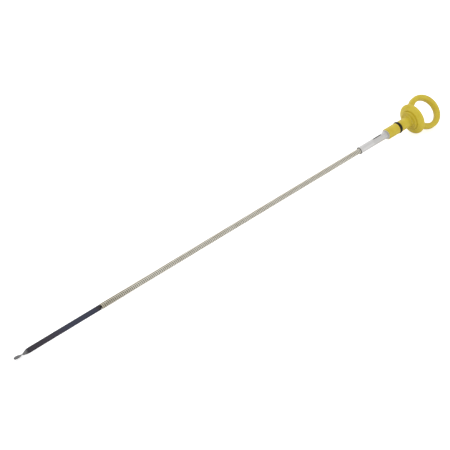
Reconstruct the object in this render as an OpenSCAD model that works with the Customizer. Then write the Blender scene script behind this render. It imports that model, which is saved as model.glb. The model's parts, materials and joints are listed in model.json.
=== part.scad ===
// Engine oil dipstick: a blued steel blade and a wound wire stick, held by a crimped ferrule
// in a moulded handle with a finger ring. It lies on a floor on its flange and its tip.
// Each piece is drawn along X with the flange's middle at X = 0 and the tip at negative X,
// then lie() turns and lowers it to the floor.

/* [Stick] */
// Distance from the flange's middle to the tip
tip_reach = 476.3; // [440:0.1:520]
// Length of blade that shows below the coil, tip included
blade_show = 88.2; // [60:0.1:110]
// Outside diameter of the coil
coil_d = 4.5; // [4:0.1:5]
// Diameter of the coil's wire
wire_d = 1.1; // [0.9:0.05:1.3]
// Advance of the coil in one turn
coil_pitch = 1.82; // [1.5:0.01:2.4]
// Clearance between the coil's inside and the core wire
core_gap = 0.05; // [0.02:0.01:0.2]

/* [Blade] */
// Width of the blade
blade_w = 4.8; // [4.2:0.1:6]
// Thickness of the blade
blade_t = 0.8; // [0.6:0.05:1]
// Bevel along the blade's edges
blade_edge = 0.15; // [0.05:0.05:0.2]
// Length of blade over which it twists
twist_l = 12; // [10:0.5:20]
// Angle of the twist
twist_angle = 96; // [60:2:120]
// Straight length between the twist and the tip
twist_lead = 3.4; // [2:0.1:5]
// Turn of the blade about its length, from the ring's width
blade_turn = 22; // [-60:1:60]
// Length of the tang inside the coil
tang_l = 6; // [4:0.5:12]
// Width of the tang
tang_w = 1.9; // [1.4:0.1:1.9]
// Length of the shoulder between the blade and its tang
shoulder_l = 0.4; // [0.2:0.1:1]

/* [Ferrule] */
// Outside diameter of the ferrule
ferrule_d = 7.1; // [6.8:0.1:7.6]
// Length of ferrule that shows in front of the stem
ferrule_show = 38; // [34:0.5:48]
// Length of ferrule inside the stem
ferrule_inset = 10.5; // [8:0.5:11]
// Clearance between the coil and the ferrule's bore
coil_gap = 0.02; // [0.01:0.01:0.1]
// Length of coil inside the ferrule
coil_inset = 36; // [30:1:44]
// Bore of the ferrule's mouth
mouth_d = 5.9; // [5.2:0.1:6.2]
// Depth of the wide bore in the mouth
mouth_depth = 8; // [4:0.5:12]
// Diameter of the flared lip at the mouth
lip_d = 7.6; // [7.6:0.1:8.2]
// Length of the flared lip
lip_l = 1.4; // [0.8:0.1:2.5]
// Length of the crimped band, up to the stem
crimp_l = 20.5; // [14:0.5:24]
// Distance across the crimp's flats
crimp_flats = 6.7; // [6.3:0.1:6.8]
// Turn of the crimp's flats about the stick, from the ring's width
crimp_turn = 39; // [0:1:59]
// Length of the punched slot in the crimp
slot_l = 10.5; // [6:0.5:14]
// Width of the punched slot
slot_w = 0.8; // [0.5:0.1:1.2]
// Depth of the punched slot below the flat
slot_depth = 0.5; // [0.3:0.1:0.6]
// Distance from the stem to the slot
slot_gap = 7.4; // [3:0.1:9]
// Diameter of the ferrule's collar against the stem's front
collar_d = 9.8; // [9:0.2:10]
// Thickness of the collar
collar_l = 0.6; // [0.4:0.1:1.2]
// Round length left between the crimp and the collar
collar_rest = 0.8; // [0.4:0.1:2]

/* [Stem] */
// Distance from the flange's middle to the stem's front
stem_reach = 38; // [34:0.5:42]
// Diameter of the stem's nose
stem_d = 11.2; // [10.6:0.1:11.6]
// Rounding of the nose's front edge
stem_round = 0.6; // [0.4:0.1:1]
// Length of the nose, up to the seal's groove
nose_l = 14.6; // [12:0.2:17]
// Outside diameter of the seal
seal_d = 12.3; // [11.8:0.1:12.8]
// Diameter of the seal's section
seal_cord = 3.3; // [2.4:0.1:3.4]
// Side clearance of the seal in its groove
seal_gap = 0.2; // [0.1:0.05:0.4]
// Diameter of the neck behind the groove
neck_d = 10.9; // [9.6:0.1:11]

/* [Flange] */
// Diameter of the flange
flange_d = 31.4; // [28:0.2:34]
// Radius of the flange's round rim
rim_r = 2.1; // [1.6:0.1:2.6]
// Diameter of the flange's flat middle
dish_d = 21; // [20:0.2:22]
// Height of the flange's flat middle above its mid-plane
dish_h = 3.4; // [3:0.1:4]
// Diameter of the boss in front of the flange
boss_d = 19.2; // [16:0.2:19.6]
// Height of the boss above the flange's mid-plane
boss_h = 5.8; // [5:0.1:7]
// Rounding of the boss's front edge
boss_round = 0.9; // [0.5:0.1:1.2]
// Fillet where the neck meets the boss
root_fillet = 1.4; // [0.4:0.1:1.6]

/* [Ring] */
// Outside diameter of the finger ring
ring_d = 36.4; // [30:0.2:42]
// Depth of the ring's near side past the flange's mid-plane
ring_sink = 1.1; // [0.5:0.1:1.8]
// Width of the ring's section, across the ring
ring_w = 5.7; // [5.4:0.1:7]
// Thickness of the ring's section
ring_t = 7.6; // [6:0.1:9]
// Rounding of the ring's section
ring_round = 2.5; // [1.5:0.1:2.6]

/* [Lie] */
// Turn of the ring as it lies, from standing on its edge
lie_turn = 42; // [40:1:75]

/* [Hidden] */

plastic = "#C6B241";
rubber = "#1E1C19";
alloy = "#CECCCA";
nickel = "#B4AF9C";
blued = "#3E4150";

// how far a cutting shape runs past the faces that it opens
past = 1;

// stations along the stick
tip_x = -tip_reach;
coil_x0 = tip_x + blade_show;
front_x = -stem_reach;
mouth_x = front_x - ferrule_show;
inset_x = front_x + ferrule_inset;
coil_x1 = mouth_x + coil_inset;
groove_x = front_x + nose_l;
groove_w = seal_cord + 2 * seal_gap;
groove_d = seal_d - 2 * seal_cord;
ring_x = ring_d / 2 - ring_sink;

// The coil is a chain of half turns. Each is a half circle through both of its ends, so its
// radius is a little over the radius at those ends.
turn_r = (coil_d - wire_d) / 2;
lead = coil_pitch / 2;
end_r = sqrt(turn_r * turn_r - lead * lead / 4);
half_tilt = atan(lead / 2 / end_r);
half_turns = floor((coil_x1 - coil_x0) / lead);
core_r = end_r - wire_d / 2 - core_gap;

// The blade is a row of sections, each [place along X, width, turn about X].
tip_steps = 9;
twist_steps = 24;
row_gap = 0.05;
blade_x1 = coil_x0 - wire_d / 2;
twist_x0 = tip_x + twist_lead;
twist_x1 = twist_x0 + twist_l;

function ease(u) = u * u * (3 - 2 * u);
function clamped(u) = min(1, max(0, u));
function blade_angle(x) = blade_turn + twist_angle * (1 - ease(clamped((x - twist_x0) / twist_l)));

// the tip is half an ellipse, as long as it is wide across
function tip_width(x) =
    let (u = clamped((x - tip_x) / (blade_w / 2)))
    blade_w * sqrt(1 - (1 - u) * (1 - u));

blade_places = concat(
    [for (i = [1:tip_steps]) tip_x + blade_w / 2 * (1 - cos(90 * i / tip_steps))],
    [for (i = [1:twist_steps])
        let (x = twist_x0 + twist_l * i / twist_steps) if (x > tip_x + blade_w / 2 + row_gap) x],
    [blade_x1 - shoulder_l]
);
tang_places = [coil_x0 - wire_d / 2, coil_x0 + tang_l];

blade_rows = concat(
    [for (x = blade_places) [x, tip_width(x), blade_angle(x)]],
    [for (x = tang_places) [x, tang_w, blade_turn]]
);

// an oblong section with bevelled edges, turned and set at its place
function section(row) =
    let (
        a = row[1] / 2,
        b = blade_t / 2,
        c = min(blade_edge, a / 2),
        outline = [
            [a, b - c], [a - c, b], [c - a, b], [-a, b - c],
            [-a, c - b], [c - a, -b], [a - c, -b], [a, c - b]
        ]
    )
    [for (p = outline) [
        row[0],
        p[0] * cos(row[2]) - p[1] * sin(row[2]),
        p[0] * sin(row[2]) + p[1] * cos(row[2])
    ]];

blade_points = [for (row = blade_rows, p = section(row)) p];

// How the part lies. The flange's rim carries one end, and the slope is the steepest that
// still keeps every corner of the blade off the floor.
function rolled_z(p) = p[1] * cos(lie_turn) + p[2] * sin(lie_turn);
function slope_for(c) = asin(min([for (p = blade_points) (rim_drop(c) + rolled_z(p) * c) / -p[0]]));
function rim_drop(c) = (flange_d / 2 - rim_r) * c + rim_r;
slope = slope_for(cos(slope_for(1)));
lift = rim_drop(cos(slope));

// the ring's farthest point along the floor, from the circle that its section rides on
ring_flat = sqrt(pow(cos(slope), 2) + pow(sin(slope) * cos(lie_turn), 2));
ring_side = sin(slope) * sin(lie_turn);
high_x = ring_x * cos(slope) + (ring_d / 2 - ring_round) * ring_flat
    + (ring_t / 2 - ring_round) * ring_side + ring_round;
low_x = min([for (p = blade_points) p[0] * cos(slope) - rolled_z(p) * sin(slope)]);

// turns the part about its length, tips its handle up by the slope and sets it on the floor
module lie() {
    translate([-(low_x + high_x) / 2, 0, lift])
        rotate([0, -slope, 0])
            rotate([90 - lie_turn, 0, 0])
                children();
}

// a profile of radius and length, turned about X
module turned() {
    rotate([0, 90, 0])
        rotate_extrude($fn = 96)
            children();
}

// a flat oblong with round corners, about its middle
module rounded_oblong(width, height, r) {
    square([width - 2 * r, height], center = true);
    square([width, height - 2 * r], center = true);
    for (side_x = [-1, 1], side_y = [-1, 1])
        translate([side_x * (width / 2 - r), side_y * (height / 2 - r)])
            circle(r, $fn = 48);
}

// a solid disc's half profile whose front corner is round, from its front to its back
module round_front(radius, front, back, r) {
    translate([0, front])
        square([radius - r, back - front]);
    translate([0, front + r])
        square([radius, back - front - r]);
    translate([radius - r, front + r])
        circle(r, $fn = 48);
}

// the hollow between a wall and a floor, filled by a concave quarter
module fillet(r) {
    difference() {
        square(r);
        translate([r, r])
            circle(r, $fn = 48);
    }
}

// where the flange's front face runs into its round rim
function rim_touch(from, centre, r) =
    let (
        d = from - centre,
        turn = atan2(d[1], d[0]) + acos(r / norm(d))
    )
    centre + r * [cos(turn), sin(turn)];

module flange_profile() {
    rim_centre = [flange_d / 2 - rim_r, 0];
    face_edge = [dish_d / 2, -dish_h];
    translate(rim_centre)
        circle(rim_r, $fn = 64);
    translate([0, -rim_r])
        square([rim_centre[0], 2 * rim_r]);
    polygon([[0, 0], [0, -dish_h], face_edge, rim_touch(face_edge, rim_centre, rim_r), rim_centre]);
}

module stem_profile() {
    round_front(stem_d / 2, front_x, groove_x, stem_round);
    translate([0, groove_x])
        square([groove_d / 2, groove_w]);
    translate([0, groove_x + groove_w])
        square([neck_d / 2, -boss_h - groove_x - groove_w]);
    translate([neck_d / 2, -boss_h])
        mirror([0, 1])
            fillet(root_fillet);
    round_front(boss_d / 2, -boss_h, 0, boss_round);
}

module finger_ring() {
    translate([ring_x, 0, 0])
        rotate_extrude($fn = 128)
            translate([(ring_d - ring_w) / 2, 0])
                rounded_oblong(ring_w, ring_t, ring_round);
}

module handle() {
    color(plastic)
        lie()
            difference() {
                union() {
                    turned() {
                        flange_profile();
                        stem_profile();
                    }
                    finger_ring();
                }
                translate([front_x - past, 0, 0])
                    rotate([0, 90, 0])
                        cylinder(d = ferrule_d, h = ferrule_inset + past, $fn = 64);
            }
}

module o_ring() {
    color(rubber)
        lie()
            turned()
                translate([(seal_d - seal_cord) / 2, groove_x + groove_w / 2])
                    circle(d = seal_cord, $fn = 48);
}

// one side of the crimp, pressed flat, as the slab that it takes away
module crimp_flat() {
    translate([front_x - crimp_l, -ferrule_d / 2, crimp_flats / 2])
        cube([crimp_l - collar_l - collar_rest, ferrule_d, ferrule_d]);
}

module crimp_slot() {
    translate([front_x - slot_gap - slot_l, -slot_w / 2, crimp_flats / 2 - slot_depth])
        cube([slot_l, slot_w, ferrule_d]);
}

module ferrule() {
    mouth_cone = (mouth_d - coil_d) / 2;
    color(alloy)
        lie()
            difference() {
                turned()
                    polygon([
                        [0, mouth_x],
                        [lip_d / 2, mouth_x],
                        [ferrule_d / 2, mouth_x + lip_l],
                        [ferrule_d / 2, front_x - collar_l],
                        [collar_d / 2, front_x - collar_l],
                        [collar_d / 2, front_x],
                        [ferrule_d / 2, front_x],
                        [ferrule_d / 2, inset_x],
                        [0, inset_x]
                    ]);
                turned()
                    polygon([
                        [0, mouth_x - past],
                        [mouth_d / 2, mouth_x - past],
                        [mouth_d / 2, mouth_x + mouth_depth],
                        [coil_d / 2 + coil_gap, mouth_x + mouth_depth + mouth_cone],
                        [coil_d / 2 + coil_gap, inset_x + past],
                        [0, inset_x + past]
                    ]);
                for (k = [0:5])
                    rotate([crimp_turn - 90 + 60 * k, 0, 0])
                        crimp_flat();
                rotate([crimp_turn - 90, 0, 0])
                    crimp_slot();
            }
}

// half a turn of wire, over the top for side = 1 and under for side = -1
module half_turn(side) {
    rotate([0, 0, side * (90 + half_tilt)])
        rotate([side * 90, 0, 0])
            rotate_extrude(angle = 180, $fn = 32)
                translate([turn_r, 0])
                    circle(d = wire_d, $fn = 24);
}

module coil() {
    color(nickel)
        lie()
            for (k = [0:half_turns - 1])
                translate([coil_x0 + lead * (k + 0.5), 0, 0])
                    half_turn(k % 2 == 0 ? 1 : -1);
}

module core_wire() {
    core_x0 = coil_x0 + tang_l;
    color(blued)
        lie()
            translate([core_x0, 0, 0])
                rotate([0, 90, 0])
                    cylinder(r = core_r, h = coil_x1 - core_x0, $fn = 48);
}

module blade() {
    corners = 8;
    rows = len(blade_rows);
    last = corners * (rows - 1);
    color(blued)
        lie()
            polyhedron(
                points = blade_points,
                faces = concat(
                    [[for (i = [0:corners - 1]) i]],
                    [[for (i = [0:corners - 1]) last + corners - 1 - i]],
                    [for (r = [0:rows - 2], i = [0:corners - 1])
                        let (
                            j = (i + 1) % corners,
                            a = r * corners,
                            b = a + corners
                        )
                        each [[a + i, b + i, b + j], [a + i, b + j, a + j]]
                    ]
                )
            );
}

handle();
o_ring();
ferrule();
coil();
core_wire();
blade();
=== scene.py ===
"""Engine oil dipstick, dressed for its photograph.

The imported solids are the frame. Each sub-assembly is a class that holds its sizes in
millimetres along the stick, and dresses the solids that belong to it. The stick's own
directions come from how the part lies, so every pattern follows the stick and not the floor.
"""

from __future__ import annotations

import json
import logging
import math
from dataclasses import dataclass, field
from enum import Enum
from typing import Any, Union

import bpy
import numpy as np
from mathutils import Matrix, Vector

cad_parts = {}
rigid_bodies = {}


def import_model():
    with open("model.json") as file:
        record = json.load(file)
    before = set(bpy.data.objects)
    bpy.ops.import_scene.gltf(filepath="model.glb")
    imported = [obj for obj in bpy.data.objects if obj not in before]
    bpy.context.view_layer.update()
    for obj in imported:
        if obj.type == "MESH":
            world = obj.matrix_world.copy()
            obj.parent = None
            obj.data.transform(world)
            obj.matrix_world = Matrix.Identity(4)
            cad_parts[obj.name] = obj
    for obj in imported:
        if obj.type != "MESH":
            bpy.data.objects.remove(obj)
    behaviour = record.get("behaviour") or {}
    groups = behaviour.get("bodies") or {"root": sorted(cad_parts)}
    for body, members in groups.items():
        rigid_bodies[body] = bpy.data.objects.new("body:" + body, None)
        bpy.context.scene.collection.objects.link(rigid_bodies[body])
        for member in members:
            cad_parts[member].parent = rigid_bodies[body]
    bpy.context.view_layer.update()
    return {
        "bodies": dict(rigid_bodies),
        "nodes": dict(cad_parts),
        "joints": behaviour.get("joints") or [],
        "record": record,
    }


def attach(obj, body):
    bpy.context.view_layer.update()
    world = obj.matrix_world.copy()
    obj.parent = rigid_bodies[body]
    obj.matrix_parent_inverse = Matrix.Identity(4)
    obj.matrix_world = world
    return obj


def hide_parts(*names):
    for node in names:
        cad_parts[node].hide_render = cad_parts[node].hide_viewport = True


log = logging.getLogger("dipstick")

MM = 0.001
Colour = tuple[float, float, float]
Span = tuple[float, float]
Number = Union[float, "Signal"]

WHITE: Colour = (1.0, 1.0, 1.0)
BLACK: Colour = (0.0, 0.0, 0.0)

# The curve of a screen colour: straight up to the knee, and a power above it.
SCREEN_KNEE = 0.04045
SCREEN_STRAIGHT = 12.92
SCREEN_OFFSET = 0.055
SCREEN_POWER = 2.4


def linear(red: int, green: int, blue: int) -> Colour:
    """Turns a screen colour of 0 to 255 into the linear values that a shader takes.

    Args:
        red: The red of the screen colour.
        green: The green of the screen colour.
        blue: The blue of the screen colour.

    Returns:
        The three linear values, from 0 to 1.
    """
    share = np.array([red, green, blue]) / 255.0
    low = share / SCREEN_STRAIGHT
    high = ((share + SCREEN_OFFSET) / (1 + SCREEN_OFFSET)) ** SCREEN_POWER
    return tuple(float(v) for v in np.where(share <= SCREEN_KNEE, low, high))


@dataclass(frozen=True)
class Lie:
    """How the part lies: its flange's middle in metres and its two turns in degrees."""

    flange: tuple[float, float, float] = (0.2203835, 0.0, 0.0156945)
    slope: float = 1.63632
    turn: float = 42.0

    def axes(self) -> np.ndarray:
        """Works out the stick's own directions in the room.

        Returns:
            Three unit rows: along the stick to its handle, across it in the ring's
            plane, and square to the ring's plane.
        """
        s, c = math.sin(math.radians(self.slope)), math.cos(math.radians(self.slope))
        roll = math.radians(90.0 - self.turn)
        across = np.array([-s * math.sin(roll), math.cos(roll), c * math.sin(roll)])
        square = np.array([-s * math.cos(roll), -math.sin(roll), c * math.cos(roll)])
        return np.array([[c, 0.0, s], across, square])

    def to_room(self, points: np.ndarray) -> np.ndarray:
        """Places points of the stick's own frame in the room.

        Args:
            points: Rows of millimetres along, across and square to the ring.

        Returns:
            The same points in metres in the room.
        """
        return points * MM @ self.axes() + np.array(self.flange)


LIE = Lie()


class Signal:
    """A value that varies over a surface, with Python's operators as Math nodes."""

    def __init__(self, tree: Nodes, socket: bpy.types.NodeSocket) -> None:
        """Wraps an output socket of a tree."""
        self.tree = tree
        self.socket = socket

    def math(self, operation: str, *others: Number, first: bool = True) -> Signal:
        """Adds a Math node on this value.

        Args:
            operation: The Math node's operation.
            others: The other operands.
            first: Whether this value is the first operand.

        Returns:
            The node's value.
        """
        order = (self, *others) if first else (*others, self)
        return self.tree.node("ShaderNodeMath", {"operation": operation}, *order)

    def __add__(self, other: Number) -> Signal:
        """Adds."""
        return self.math("ADD", other)

    __radd__ = __add__

    def __mul__(self, other: Number) -> Signal:
        """Multiplies."""
        return self.math("MULTIPLY", other)

    __rmul__ = __mul__

    def __sub__(self, other: Number) -> Signal:
        """Takes away."""
        return self.math("SUBTRACT", other)

    def __rsub__(self, other: Number) -> Signal:
        """Takes this value from a number."""
        return self.math("SUBTRACT", other, first=False)

    def __truediv__(self, other: Number) -> Signal:
        """Divides."""
        return self.math("DIVIDE", other)

    def __pow__(self, other: Number) -> Signal:
        """Raises to a power."""
        return self.math("POWER", other)

    def __abs__(self) -> Signal:
        """Takes the size without its sign."""
        return self.math("ABSOLUTE")

    def ramp(self, low: float, high: float) -> Signal:
        """Goes smoothly from 0 at one value to 1 at another.

        Args:
            low: The value that gives 0.
            high: The value that gives 1, which may be the smaller one.

        Returns:
            The eased share, kept from 0 to 1.
        """
        flip = low > high
        ends = (high, low) if flip else (low, high)
        eased = self.tree.node(
            "ShaderNodeMapRange",
            {"interpolation_type": "SMOOTHSTEP"},
            self, *ends, 0.0, 1.0,
        )
        return 1.0 - eased if flip else eased

    def band(self, middle: float, half: float, soft: float) -> Signal:
        """Gives 1 near a value and 0 away from it.

        Args:
            middle: The band's middle.
            half: Half of the band's width.
            soft: The width over which it fades.

        Returns:
            The share of the band.
        """
        return abs(self - middle).ramp(half + soft, half)


@dataclass(frozen=True)
class Noise:
    """A noise: its cells in a millimetre, its finer layers, their strength, its squeezes."""

    scale: float
    detail: float = 3.0
    rough: float = 0.5
    lengthways: float = 1.0
    crossways: float = 1.0


class Nodes:
    """A tree of nodes, which are all made by one method."""

    def __init__(self, tree: bpy.types.NodeTree, surface: str) -> None:
        """Keeps the tree and finds the node that its values end in, by name."""
        self.tree = tree
        self.surface = tree.nodes[surface]

    def node(self, kind: str, settings: dict[str, Any], *values: Any,
             output: Union[int, str] = 0, **named: Any) -> Signal:
        """Adds one node.

        Args:
            kind: The node's type.
            settings: Its properties, which are set before its sockets.
            values: Numbers, colours or signals for its inputs in their order.
            output: The output that is wanted, by place or by name.
            named: Numbers, colours or signals for inputs by name.

        Returns:
            The wanted output.
        """
        made = self.tree.nodes.new(kind)
        for key, value in settings.items():
            if key == "stops":
                self._stops(made, value)
            else:
                setattr(made, key, value)
        open_inputs = [socket for socket in made.inputs if socket.enabled]
        pairs = list(zip(open_inputs, values))
        pairs += [(self._input(made, key), value) for key, value in named.items()]
        for socket, value in pairs:
            self.join(value, socket)
        if isinstance(output, int):
            found = [socket for socket in made.outputs if socket.enabled][output]
        else:
            found = made.outputs[output]
        return Signal(self, found)

    @staticmethod
    def _input(made: bpy.types.Node, key: str) -> bpy.types.NodeSocket:
        """Finds an open input by its name."""
        return next(s for s in made.inputs if s.enabled and s.name.replace(" ", "_") == key)

    @staticmethod
    def _stops(made: bpy.types.Node, stops: list[tuple[float, Colour]]) -> None:
        """Sets a colour ramp's stops.

        Args:
            made: The colour ramp's node.
            stops: The place of each stop and its colour, in order.
        """
        points = made.color_ramp.elements
        while len(points) < len(stops):
            points.new(1.0)
        for point, (place, colour) in zip(points, stops):
            point.position = place
            point.color = (*colour, 1.0)

    def join(self, value: Any, socket: bpy.types.NodeSocket) -> None:
        """Gives an input its value or its link.

        Args:
            value: A number, a colour or a signal.
            socket: The input.
        """
        if isinstance(value, Signal):
            self.tree.links.new(value.socket, socket)
        elif isinstance(value, tuple) and len(value) == 3 and socket.type == "RGBA":
            socket.default_value = (*value, 1.0)
        else:
            socket.default_value = value

    def vector(self, x: Number, y: Number, z: Number) -> Signal:
        """Joins three values in a vector."""
        return self.node("ShaderNodeCombineXYZ", {}, x, y, z)

    def dot(self, where: Signal, direction: Colour) -> Signal:
        """Measures a point or a direction along another: the sum of their products."""
        return self.node("ShaderNodeVectorMath", {"operation": "DOT_PRODUCT"},
                         where, direction, output="Value")

    def ray(self, kind: str) -> Signal:
        """Tells by 1 or 0 whether a ray is of the kind that the output names."""
        return self.node("ShaderNodeLightPath", {}, output=kind)

    def mix(self, share: Number, base: Any, over: Any) -> Signal:
        """Mixes two colours.

        Args:
            share: How much of the second colour shows.
            base: The colour at 0.
            over: The colour at 1.

        Returns:
            The mixed colour.
        """
        return self.node("ShaderNodeMix", {"data_type": "RGBA"}, share, base, over)


class Shader(Nodes):
    """A material's nodes, joined to its Principled BSDF and laid out along the stick."""

    def __init__(self, name: str) -> None:
        """Starts a material that has only its surface and its output.

        Args:
            name: The material's name.
        """
        self.material = bpy.data.materials.new(name)
        self.material.use_nodes = True
        super().__init__(self.material.node_tree, "Principled BSDF")

    def axis(self, direction: np.ndarray) -> Signal:
        """Measures a point along one of the stick's directions.

        Args:
            direction: The unit direction in the room.

        Returns:
            The distance from the flange's middle, in millimetres.
        """
        place = self.node("ShaderNodeTexCoord", {}, output="Object")
        start = float(np.dot(direction, LIE.flange)) / MM
        return self.dot(place, tuple(float(v) / MM for v in direction)) - start

    def stick_frame(self) -> tuple[Signal, Signal, Signal]:
        """Gives the three distances along, across and square to the ring, in millimetres."""
        along, across, square = LIE.axes()
        return self.axis(along), self.axis(across), self.axis(square)

    def noise(self, look: Noise, along: Signal, across: Signal,
              square: Number = 0.0) -> Signal:
        """Adds a noise of 0 to 1 about a half.

        Args:
            look: How the noise looks.
            along: The place along the stick that it is read at.
            across: The place across the stick.
            square: The place square to both.

        Returns:
            The noise.
        """
        where = self.vector(along * look.lengthways, across * look.crossways,
                            square * look.crossways)
        return self.node("ShaderNodeTexNoise", {}, Vector=where, Scale=look.scale,
                         Detail=look.detail, Roughness=look.rough)

    def bump(self, height: Signal, depth_mm: float, strength: float) -> None:
        """Raises the surface by a height.

        Args:
            height: The height as a share of the depth.
            depth_mm: The depth in millimetres that a height of 1 stands for.
            strength: How much of the bump shows.
        """
        normal = self.node("ShaderNodeBump", {}, Strength=strength, Distance=depth_mm * MM,
                           Height=height)
        self.join(normal, self.surface.inputs["Normal"])

    def finish(self, **inputs: Any) -> bpy.types.Material:
        """Sets the surface's own inputs.

        Args:
            inputs: Values or signals by the input's name, with _ for a space.

        Returns:
            The finished material.
        """
        for key, value in inputs.items():
            self.join(value, self.surface.inputs[key.replace("_", " ")])
        return self.material


class Room(Nodes):
    """The world's nodes, joined to its background."""

    def __init__(self, name: str) -> None:
        """Starts a world that has only its background and its output.

        Args:
            name: The world's name.
        """
        self.world = bpy.data.worlds.new(name)
        self.world.use_nodes = True
        super().__init__(self.world.node_tree, "Background")


def off_axis(across: Signal, square: Signal) -> Signal:
    """Works out how far a point is from the axis: the root of the two squares' sum."""
    return (across * across + square * square) ** 0.5


@dataclass(frozen=True)
class MouldedPlastic:
    """Satin mustard plastic: flow marks, a fine grain, a mould line and painted shade at the
    root.
    """

    tint: Colour = linear(211, 191, 54)
    deep: Colour = linear(198, 168, 34)
    # The colour of the painted shade at the neck's root and round the boss.
    shaded: Colour = linear(166, 143, 20)
    flow: Noise = Noise(0.11, 4.0, 0.6)
    flow_span: Span = (0.35, 0.7)
    flow_share: float = 0.5
    wear: Noise = Noise(0.8, 5.0, 0.65)
    root_front: Span = (-13.0, -7.0)
    root_back: Span = (-1.5, -3.0)
    root_rim: Span = (11.2, 9.9)
    root_share: float = 0.2
    line_from: Span = (3.0, 4.0)
    line_half: float = 0.06
    line_soft: float = 0.1
    line_height: float = 1.5
    grain: Noise = Noise(3.2, 2.0)
    grain_height: float = 0.5
    grain_mm: float = 0.02
    grain_strength: float = 0.6
    dull: float = 0.36
    dull_swing: float = 0.12
    gloss: float = 0.45

    def make(self) -> bpy.types.Material:
        """Builds the material.

        Returns:
            The material of the handle's moulding.
        """
        s = Shader("moulded_plastic")
        along, across, square = s.stick_frame()
        flow = s.noise(self.flow, along, across, square)
        grain = s.noise(self.grain, along, across, square)
        wear = s.noise(self.wear, along, across, square)
        colour = s.mix(flow.ramp(*self.flow_span) * self.flow_share, self.tint, self.deep)
        # Painted shade: the neck's root and the dish round the boss are darkened in the
        # colour, where the corner's shade falls.
        root = along.ramp(*self.root_front) * along.ramp(*self.root_back)
        root = root * off_axis(across, square).ramp(*self.root_rim)
        root = root * (self.root_share + wear * self.root_share)
        line = square.band(0.0, self.line_half, self.line_soft) * along.ramp(*self.line_from)
        s.bump(grain * self.grain_height + line * self.line_height, self.grain_mm,
               self.grain_strength)
        return s.finish(
            Base_Color=s.mix(root, colour, self.shaded),
            Roughness=self.dull + wear * self.dull_swing - self.dull_swing / 2,
            Specular_IOR_Level=self.gloss,
        )


@dataclass(frozen=True)
class SealRubber:
    """Black rubber with a worn sheen."""

    tint: Colour = linear(22, 20, 17)
    dust: Colour = linear(44, 40, 34)
    spots: Noise = Noise(1.4, 5.0, 0.6)
    dust_span: Span = (0.5, 0.85)
    dust_share: float = 0.4
    grain: Noise = Noise(4.0, 2.0)
    grain_mm: float = 0.02
    grain_strength: float = 0.4
    dull: float = 0.5
    dull_swing: float = 0.2
    gloss: float = 0.3

    def make(self) -> bpy.types.Material:
        """Builds the material.

        Returns:
            The material of the seal.
        """
        s = Shader("seal_rubber")
        frame = s.stick_frame()
        spots = s.noise(self.spots, *frame)
        dusty = spots.ramp(*self.dust_span) * self.dust_share
        s.bump(s.noise(self.grain, *frame), self.grain_mm, self.grain_strength)
        return s.finish(
            Base_Color=s.mix(dusty, self.tint, self.dust),
            Roughness=self.dull + spots * self.dull_swing,
            Specular_IOR_Level=self.gloss,
        )


@dataclass(frozen=True)
class DrawnAluminium:
    """Pale drawn aluminium: fine lines round it, small marks, and painted shade in its mouth
    and its slot.
    """

    tint: Colour = linear(217, 216, 215)
    shade: Colour = linear(180, 178, 174)
    # The colour of the painted shade in the mouth and in the slot.
    soot: Colour = linear(38, 36, 36)
    bore_span: Span = (3.0, 2.9)
    lip_span: Span = (3.5, 3.2)
    lip_face: Span = (-75.5, -75.7)
    slot_turn: float = 39.0
    slot_side: Span = (0.75, 0.5)
    slot_depth: Span = (2.4, 2.7)
    slot_middle: float = -50.65
    slot_half: float = 5.25
    slot_soft: float = 0.3
    marks: Noise = Noise(0.9, 6.0, 0.7)
    marks_span: Span = (0.55, 0.8)
    marks_share: float = 0.5
    marks_height: float = 0.6
    pressed_from: Span = (-59.5, -57.5)
    pressed_share: float = 0.1
    pressed_swing: float = 0.32
    rings: Noise = Noise(1.0, 3.0, 0.7, lengthways=6.0, crossways=0.3)
    rings_mm: float = 0.015
    rings_strength: float = 0.5
    dull: float = 0.5
    dull_swing: float = 0.12

    def make(self) -> bpy.types.Material:
        """Builds the material.

        Returns:
            The material of the ferrule.
        """
        s = Shader("drawn_aluminium")
        along, across, square = s.stick_frame()
        radius = off_axis(across, square)
        rings = s.noise(self.rings, along, across, square)
        marks = s.noise(self.marks, along, across, square)
        # Painted shade in the mouth: the bore and the inner edge of the lip's face are
        # darkened where the bore's shade falls.
        lip = radius.ramp(*self.lip_span) * along.ramp(*self.lip_face)
        mouth = radius.ramp(*self.bore_span).math("MAXIMUM", lip)
        # Painted shade in the slot: its walls and the flat beside them are darkened where the
        # slot's shadow falls.
        turn = math.radians(self.slot_turn)
        beside = abs(square * math.cos(turn) - across * math.sin(turn))
        above = across * math.cos(turn) + square * math.sin(turn)
        slot = beside.ramp(*self.slot_side) * above.ramp(*self.slot_depth)
        slot = slot * along.band(self.slot_middle, self.slot_half, self.slot_soft)
        stain = marks.ramp(*self.marks_span) * self.marks_share
        pressed = self.pressed_share + marks * self.pressed_swing
        pressed = along.ramp(*self.pressed_from) * pressed
        colour = s.mix(stain.math("MAXIMUM", pressed), self.tint, self.shade)
        s.bump(rings + marks * self.marks_height, self.rings_mm, self.rings_strength)
        return s.finish(
            Base_Color=s.mix(slot.math("MAXIMUM", mouth), colour, self.soot),
            Metallic=1.0,
            Roughness=self.dull + marks * self.dull_swing,
        )


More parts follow.
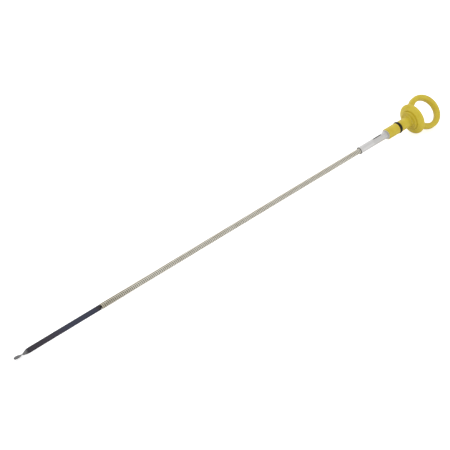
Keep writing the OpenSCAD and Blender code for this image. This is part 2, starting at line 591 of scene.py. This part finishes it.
@dataclass(frozen=True)
class WoundWire:
    """Pale plated wire: tarnished, with painted shade between its turns, and filmed with oil
    by the blade.
    """

    tint: Colour = linear(240, 236, 223)
    tarnish: Colour = linear(218, 210, 190)
    # This oil colour is painted shade: it darkens the wire's inner side, between the turns,
    # where the shade falls.
    oil: Colour = linear(56, 47, 34)
    film: Colour = linear(176, 165, 138)
    patches: Noise = Noise(0.35, 4.0, 0.6, lengthways=0.25)
    patches_span: Span = (0.4, 0.72)
    patches_share: float = 0.65
    dipped_span: Span = (-345.0, -386.0)
    dipped_share: float = 0.45
    dipped_swing: float = 0.3
    oil_radius: Span = (2.72, 2.05)
    fine: Noise = Noise(2.4, 3.0, 0.6)
    fine_mm: float = 0.012
    fine_strength: float = 0.4
    metal: float = 0.6
    metal_loss: float = 0.5
    dull: float = 0.42
    dull_swing: float = 0.12
    dull_oil: float = 0.1

    def make(self) -> bpy.types.Material:
        """Builds the material.

        Returns:
            The material of the coil.
        """
        s = Shader("wound_wire")
        along, across, square = s.stick_frame()
        patches = s.noise(self.patches, along, across, square)
        fine = s.noise(self.fine, along, across, square)
        # Painted shade between the turns: the colour darkens and loses its metal towards the
        # wire's inner side, where the gaps lie in shade.
        depth = off_axis(across, square).ramp(*self.oil_radius)
        dull_patches = patches.ramp(*self.patches_span) * self.patches_share
        plated = s.mix(dull_patches, self.tint, self.tarnish)
        dipped = self.dipped_share + patches * self.dipped_swing
        plated = s.mix(along.ramp(*self.dipped_span) * dipped, plated, self.film)
        s.bump(fine, self.fine_mm, self.fine_strength)
        return s.finish(
            Base_Color=s.mix(depth, plated, self.oil),
            Metallic=self.metal - depth * self.metal_loss,
            Roughness=self.dull + fine * self.dull_swing + depth * self.dull_oil,
        )


@dataclass(frozen=True)
class CoreSteel:
    """Dark oily steel of the wire inside the coil."""

    tint: Colour = linear(74, 62, 46)
    oil: Colour = linear(48, 38, 28)
    film: Noise = Noise(1.1, 4.0)
    metal: float = 0.6
    dull: float = 0.35
    dull_swing: float = 0.2

    def make(self) -> bpy.types.Material:
        """Builds the material.

        Returns:
            The material of the core wire.
        """
        s = Shader("core_steel")
        film = s.noise(self.film, *s.stick_frame())
        return s.finish(
            Base_Color=s.mix(film, self.tint, self.oil),
            Metallic=self.metal,
            Roughness=self.dull + film * self.dull_swing,
        )


@dataclass(frozen=True)
class BladeShape:
    """The blade's sizes in millimetres and degrees, which its mesh and its finish share."""

    tip: float = -476.3
    end: float = -388.65
    width: float = 4.8
    rest_angle: float = 22.0
    twist_from: float = -472.9
    twist_length: float = 12.0
    twist_angle: float = 96.0


@dataclass(frozen=True)
class BluedSteel:
    """Blued spring steel: blue by the coil and dark by the tip, with worn edges, and a lighter
    twist and paddle that are partly rubbed bare and partly a painted highlight.
    """

    dark: Colour = linear(54, 52, 57)
    dark_to: float = 0.22
    plum: Colour = linear(57, 54, 61)
    plum_at: float = 0.42
    blue: Colour = linear(56, 58, 70)
    blue_from: float = 0.62
    blue_to: float = 0.94
    end: Colour = linear(54, 49, 46)
    end_from: float = 0.975
    coil_end: float = -388.6
    cloud: Noise = Noise(1.0, 3.0, 0.5, lengthways=0.14, crossways=0.3)
    cloud_share: float = 0.16
    streak: Noise = Noise(1.0, 4.0, 0.65, lengthways=0.05, crossways=2.2)
    streak_span: Span = (0.35, 0.65)
    streak_mm: float = 0.012
    streak_strength: float = 0.5
    bare: Colour = linear(168, 168, 168)
    edge_span: Span = (2.2, 2.38)
    edge_share: float = 0.4
    # The lighter twist and paddle: partly rubbed bare steel, partly a painted highlight and
    # sheen.
    rubbed_in: Span = (1.5, 4.5)
    rubbed_out: Span = (10.8, 6.0)
    rubbed_share: float = 0.6
    rubbed_swing: float = 0.4
    wiped_span: Span = (4.0, 1.0)
    wiped_share: float = 0.35
    dull: float = 0.24
    dull_swing: float = 0.16

    def make(self, shape: BladeShape) -> bpy.types.Material:
        """Builds the material.

        The blade's own width turns with the twist: its angle is the resting angle plus the
        twist's angle, which eases in towards the tip.

        Args:
            shape: The sizes of the blade that wears it.

        Returns:
            The material of the blade.
        """
        s = Shader("blued_steel")
        along, across, square = s.stick_frame()
        past = along - shape.twist_from
        eased = 1.0 - (past / shape.twist_length).ramp(0.0, 1.0)
        angle = eased * math.radians(shape.twist_angle)
        angle = angle + math.radians(shape.rest_angle)
        width = across * angle.math("COSINE") + square * angle.math("SINE")
        streak = s.noise(self.streak, along, width)
        cloud = s.noise(self.cloud, along, width)
        run = (along - shape.tip) / (self.coil_end - shape.tip)
        stops = [(0.0, self.dark), (self.dark_to, self.dark), (self.plum_at, self.plum),
                 (self.blue_from, self.blue), (self.blue_to, self.blue),
                 (self.end_from, self.end)]
        tint = s.node("ShaderNodeValToRGB", {"stops": stops},
                      run + (cloud - 0.5) * self.cloud_share)
        worn = abs(width).ramp(*self.edge_span) * streak.ramp(*self.streak_span)
        # The twist and the paddle are lightened towards bare steel: partly rubbed metal,
        # partly a painted highlight and sheen where the turning face catches the light.
        rubbed = past.ramp(*self.rubbed_out) * past.ramp(*self.rubbed_in)
        rubbed = rubbed * (self.rubbed_share + streak * self.rubbed_swing)
        wiped_sheen = past.ramp(*self.wiped_span) * self.wiped_share
        rubbed = rubbed.math("MAXIMUM", wiped_sheen)
        bare = (worn * self.edge_share).math("MAXIMUM", rubbed)
        s.bump(streak, self.streak_mm, self.streak_strength)
        return s.finish(
            Base_Color=s.mix(bare, tint, self.bare),
            Metallic=1.0,
            Roughness=self.dull + streak * self.dull_swing,
        )


class Surface:
    """A grid of points in the stick's frame, as rows along it and places round it."""

    def __init__(self, points: np.ndarray, outward: np.ndarray) -> None:
        """Keeps the grid.

        Args:
            points: An array of rows, places round and three values, in millimetres.
            outward: The outward direction at each point, square to the surface.
        """
        self.points = points
        self.outward = outward

    def faces(self, start: int) -> list[tuple[int, ...]]:
        """Lists the faces: a square between each two rows, and a cap on each end.

        Args:
            start: The number of the grid's first point in its mesh.

        Returns:
            The faces as numbers of points, seen from outside.
        """
        rows, places = self.points.shape[:2]
        near = np.arange(rows * places).reshape(rows, places) + start
        side = np.roll(near, -1, axis=1)
        quads = np.stack([near[:-1], side[:-1], side[1:], near[1:]], axis=-1).reshape(-1, 4)
        caps = [tuple(near[0][::-1].tolist()), tuple(near[-1].tolist())]
        return [tuple(quad) for quad in quads.tolist()] + caps


def make_piece(name: str, surfaces: list[Surface], cad_node: str,
               material: bpy.types.Material) -> None:
    """Makes one smooth object of closed grids, in place of a solid.

    Args:
        name: The piece's name.
        surfaces: The grids that it is made of.
        cad_node: The solid that it stands for.
        material: Its finish.
    """
    faces: list[tuple[int, ...]] = []
    start = 0
    for surface in surfaces:
        faces += surface.faces(start)
        start += surface.points.shape[0] * surface.points.shape[1]
    points = np.concatenate([surface.points.reshape(-1, 3) for surface in surfaces])
    outward = np.concatenate([surface.outward.reshape(-1, 3) for surface in surfaces])
    mesh = bpy.data.meshes.new(name)
    mesh.from_pydata(LIE.to_room(points), [], faces)
    mesh.polygons.foreach_set("use_smooth", np.ones(len(faces), bool))
    mesh.normals_split_custom_set_from_vertices(outward @ LIE.axes())
    mesh.materials.append(material)
    mesh.update()
    piece = bpy.data.objects.new(name, mesh)
    bpy.context.scene.collection.objects.link(piece)
    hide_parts(cad_node)
    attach(piece, "root")
    log.info("%s wears %s and has %d faces", name, material.name, len(faces))


def dress(piece: bpy.types.Object, material: bpy.types.Material) -> None:
    """Gives a solid its material in place of its plain one.

    Args:
        piece: The solid.
        material: Its finish.
    """
    for slot in piece.material_slots:
        slot.material = material
    log.info("%s wears %s", piece.name, material.name)


@dataclass
class Handle:
    """The moulded handle and the seal on its stem."""

    moulding: str = "handle"
    seal: str = "o_ring"
    plastic: MouldedPlastic = field(default_factory=MouldedPlastic)
    rubber: SealRubber = field(default_factory=SealRubber)

    def build(self, nodes: dict[str, bpy.types.Object]) -> None:
        """Dresses the handle's solids."""
        dress(nodes[self.moulding], self.plastic.make())
        dress(nodes[self.seal], self.rubber.make())


@dataclass
class Coil:
    """The wire that is wound right-handed round the core."""

    start: float = -387.95
    pitch: float = 1.82
    half_turns: int = 382
    turn_radius: float = 2.1
    wire_radius: float = 0.65
    closed: float = 1.8
    held_turn: float = 1.7
    held_wire: float = 0.55
    held_from: float = -72.5
    held_length: float = 4.0
    steps: int = 28
    sides: int = 12
    dome_rows: float = 2.0
    dome_start: float = 0.03
    finish: WoundWire = field(default_factory=WoundWire)

    def surface(self) -> Surface:
        """Winds the wire.

        The middle of the wire is a helix: as it turns by an angle it goes forward by the
        pitch times the share of a full turn, less a lag that closes its first turn against
        the blade. Inside the ferrule's mouth an eased share draws its radius and its wire
        down to the narrow bore. The wire's round section stands square to the helix, on its
        outward and its sideways direction, and closes to a dome at each end.

        Returns:
            The grid of the wire.
        """
        count = self.half_turns * self.steps // 2 + 1
        turn = np.linspace(0.0, self.half_turns * math.pi, count)
        climb = self.pitch / (2 * math.pi)
        lag = self.closed * (1 - np.exp(-turn / self.closed))
        place = self.start + climb * (turn - lag)
        share = np.clip((place - self.held_from) / self.held_length, 0.0, 1.0)
        held = share * share * (3 - 2 * share)
        radius = self.turn_radius + (self.held_turn - self.turn_radius) * held
        wire = self.wire_radius + (self.held_wire - self.wire_radius) * held
        out = np.stack([0 * turn, np.cos(turn), np.sin(turn)], axis=1)
        go = np.stack(
            [climb + 0 * turn, -radius * np.sin(turn), radius * np.cos(turn)], axis=1,
        )
        go /= np.linalg.norm(go, axis=1)[:, None]
        side = np.cross(go, out)
        middle = radius[:, None] * out
        middle[:, 0] = place
        left = np.minimum(np.arange(count), np.arange(count)[::-1]) / self.dome_rows
        swell = np.sqrt(1 - (1 - np.clip(left, self.dome_start, 1.0)) ** 2)
        around = np.arange(self.sides) * 2 * math.pi / self.sides
        outward = (np.cos(around)[None, :, None] * out[:, None]
                   + np.sin(around)[None, :, None] * side[:, None])
        points = middle[:, None] + (wire * swell)[:, None, None] * outward
        return Surface(points, outward)

    def build(self) -> None:
        """Makes and dresses the coil."""
        make_piece("wound_coil", [self.surface()], "coil", self.finish.make())


@dataclass
class Blade:
    """The flat strip whose tip is twisted on its edge, and its tang."""

    shape: BladeShape = field(default_factory=BladeShape)
    thickness: float = 0.8
    edge: float = 0.18
    edge_most: float = 0.9
    edge_steps: int = 5
    shoulder: float = 0.4
    tang_width: float = 1.9
    tang_end: float = -382.1
    tang_rows: int = 4
    nose_start: float = 0.06
    nose_rows: int = 22
    twist_gap: float = 0.1
    twist_rows: int = 110
    flat_gap: float = 1.0
    flat_rows: int = 12
    finish: BluedSteel = field(default_factory=BluedSteel)

    def strip(self, along: np.ndarray, half_width: np.ndarray) -> Surface:
        """Draws a strip with rounded edges and turns it by the twist.

        The section is an oblong whose four corners are quarter circles. It turns about the
        stick by the resting angle, plus the twist times what is left of an eased share that
        grows along the twist.

        Args:
            along: The places of the sections, in millimetres.
            half_width: Half of the strip's width at each.

        Returns:
            The grid of the strip.
        """
        arc = np.linspace(0.0, math.pi / 2, self.edge_steps)
        corner = np.concatenate([arc + k * math.pi / 2 for k in range(4)])
        sign_w = np.repeat([1.0, -1.0, -1.0, 1.0], arc.size)
        sign_t = np.repeat([1.0, 1.0, -1.0, -1.0], arc.size)
        bend = np.minimum(self.edge, half_width * self.edge_most)[:, None]
        flat = sign_w * (half_width[:, None] - bend) + bend * np.cos(corner)
        thick = sign_t * (self.thickness / 2 - bend) + bend * np.sin(corner)
        past = along - self.shape.twist_from
        share = np.clip(past / self.shape.twist_length, 0.0, 1.0)
        eased = share * share * (3 - 2 * share)
        angle = self.shape.rest_angle + self.shape.twist_angle * (1 - eased)
        angle = np.radians(angle)[:, None]
        c, s = np.cos(angle), np.sin(angle)
        level = along[:, None] + 0 * flat
        points = np.stack([level, flat * c - thick * s, flat * s + thick * c], axis=-1)
        out_w, out_t = np.cos(corner) + 0 * flat, np.sin(corner) + 0 * flat
        out = np.stack([0 * flat, out_w * c - out_t * s, out_w * s + out_t * c], axis=-1)
        around = np.stack([0 * flat, -out[..., 2], out[..., 1]], axis=-1)
        run = np.gradient(points, axis=0)
        outward = np.cross(around, run)
        outward *= np.sign((outward * out).sum(-1, keepdims=True))
        outward /= np.linalg.norm(outward, axis=-1, keepdims=True)
        return Surface(points, outward)

    def body(self) -> Surface:
        """Draws the blade from its round nose to the coil.

        Half of its width follows a quarter circle over the nose. The rows there are spread
        by a cosine, and those on the twist are close together.

        Returns:
            The grid of the blade.
        """
        reach = self.shape.width / 2
        twist_end = self.shape.twist_from + self.shape.twist_length
        quarter = np.linspace(self.nose_start, 1.0, self.nose_rows) * math.pi / 2
        along = np.concatenate([
            self.shape.tip + reach * (1 - np.cos(quarter)),
            np.linspace(self.shape.tip + reach + self.twist_gap, twist_end, self.twist_rows),
            np.linspace(twist_end + self.flat_gap, self.shape.end, self.flat_rows),
        ])
        near = np.clip((along - self.shape.tip) / reach, 0.0, 1.0)
        return self.strip(along, reach * np.sqrt(1 - (1 - near) ** 2))

    def tang(self) -> Surface:
        """Draws the narrow strip that goes inside the coil.

        Returns:
            The grid of the tang.
        """
        along = np.linspace(self.shape.end - self.shoulder, self.tang_end, self.tang_rows)
        return self.strip(along, np.full(self.tang_rows, self.tang_width / 2))

    def build(self) -> None:
        """Makes and dresses the blade."""
        make_piece("blued_blade", [self.body(), self.tang()], "blade",
                   self.finish.make(self.shape))


@dataclass
class Stick:
    """The ferrule, the coil on its core wire and the blade."""

    sleeve: str = "ferrule"
    core: str = "core_wire"
    aluminium: DrawnAluminium = field(default_factory=DrawnAluminium)
    steel: CoreSteel = field(default_factory=CoreSteel)
    coil: Coil = field(default_factory=Coil)
    blade: Blade = field(default_factory=Blade)

    def build(self, nodes: dict[str, bpy.types.Object]) -> None:
        """Dresses the stick's solids, and makes its coil and its blade.

        Args:
            nodes: The solids by name.
        """
        dress(nodes[self.sleeve], self.aluminium.make())
        dress(nodes[self.core], self.steel.make())
        self.coil.build()
        self.blade.build()


class Side(Enum):
    """Where a lamp stands in metres, as right, towards the camera and up."""

    KEY = (-0.85, 0.15, 1.0)
    FILL = (0.8, 0.9, 0.3)
    BACK = (0.1, -1.0, 0.8)


@dataclass
class Studio:
    """The pale floor, the even light and the camera of the photograph.

    The camera's place, in millimetres, and its directions are given in the stick's frame.
    Each lamp has its watts and its width in metres.
    """

    eye: tuple[float, float, float] = (-766.388, -37.738, 947.401)
    gaze: tuple[float, float, float] = (0.481471, 0.039759, -0.875560)
    down: tuple[float, float, float] = (-0.450699, -0.845540, -0.286236)
    lens: float = 96.0
    sensor: float = 36.0
    sight: float = 50.0
    sky: float = 0.84
    dark: float = 0.35
    dark_span: Span = (0.8, 0.97)
    floor_half: float = 6.0
    floor_tint: Colour = (0.9, 0.9, 0.9)
    floor_dull: float = 0.9
    floor_glow: float = 0.6
    mirror_glow: float = 0.12
    lamps: dict[Side, tuple[float, float]] = field(default_factory=lambda: {
        Side.KEY: (3.4, 0.9),
        Side.FILL: (2.5, 0.8),
        Side.BACK: (1.2, 1.0),
    })

    def view(self) -> tuple[Vector, Vector, Vector]:
        """Turns the camera's directions from the stick's frame to the room's.

        Returns:
            The directions to the right, up and back of the picture.
        """
        room = LIE.axes()
        back = -(np.array(self.gaze) @ room)
        up = -(np.array(self.down) @ room)
        return Vector(np.cross(up, back)), Vector(up), Vector(back)

    def camera(self) -> None:
        """Sets the camera where the photograph's perspective puts it."""
        data = bpy.data.cameras.new("photo")
        data.lens = self.lens
        data.sensor_width = self.sensor
        data.clip_end = self.sight
        camera = bpy.data.objects.new("photo", data)
        turn = Matrix(self.view()).transposed().to_4x4()
        camera.matrix_world = Matrix.Translation(LIE.to_room(np.array(self.eye))) @ turn
        bpy.context.scene.collection.objects.link(camera)
        bpy.context.scene.camera = camera

    def floor(self) -> None:
        """Lays the floor, which shows white and still takes a soft shadow."""
        h = self.floor_half
        mesh = bpy.data.meshes.new("floor")
        mesh.from_pydata([(-h, -h, 0), (h, -h, 0), (h, h, 0), (-h, h, 0)], [], [(0, 1, 2, 3)])
        floor = bpy.data.objects.new("floor", mesh)
        bpy.context.scene.collection.objects.link(floor)
        s = Shader("floor_white")
        s.finish(Base_Color=self.floor_tint, Roughness=self.floor_dull,
                 Specular_IOR_Level=0.0)
        mirrored = s.ray("Is Glossy Ray") + s.ray("Is Transmission Ray")
        seen = s.ray("Is Camera Ray") * self.floor_glow
        seen = seen + mirrored.math("MINIMUM", 1.0) * self.mirror_glow
        glow = s.node("ShaderNodeEmission", {}, WHITE, seen)
        both = s.node("ShaderNodeAddShader", {}, Signal(s, s.surface.outputs[0]), glow)
        s.join(both, s.tree.nodes["Material Output"].inputs["Surface"])
        mesh.materials.append(s.material)

    def world(self) -> None:
        """Fills the room with an even light that is dimmer round the camera."""
        room = Room("room")
        way = room.node("ShaderNodeTexCoord", {}, output="Generated")
        facing = room.dot(way, tuple(self.view()[2]))
        dim = facing.ramp(*self.dark_span) * self.dark
        room.join(room.mix(dim, WHITE, BLACK), room.surface.inputs["Color"])
        room.join(self.sky, room.surface.inputs["Strength"])
        bpy.context.scene.world = room.world

    def lights(self) -> None:
        """Stands the soft lamps round the part, each turned to its middle."""
        back = self.view()[2]
        near = Vector((back.x, back.y, 0.0)).normalized()
        right = Vector((-near.y, near.x, 0.0))
        for side, (power, size) in self.lamps.items():
            data = bpy.data.lights.new(side.name.lower(), "AREA")
            data.energy = power
            data.size = size
            lamp = bpy.data.objects.new(side.name.lower(), data)
            x, y, z = side.value
            lamp.location = right * x + near * y + Vector((0.0, 0.0, z))
            lamp.rotation_euler = (-lamp.location).to_track_quat("-Z", "Y").to_euler()
            bpy.context.scene.collection.objects.link(lamp)

    def build(self) -> None:
        """Sets up the whole studio."""
        self.camera()
        self.floor()
        self.world()
        self.lights()
        bpy.context.scene.view_settings.view_transform = "Standard"


def main() -> None:
    """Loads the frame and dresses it."""
    logging.basicConfig(level=logging.INFO, format="%(name)s: %(message)s")
    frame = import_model()
    Handle().build(frame["nodes"])
    Stick().build(frame["nodes"])
    Studio().build()


if __name__ == "__main__":
    main()
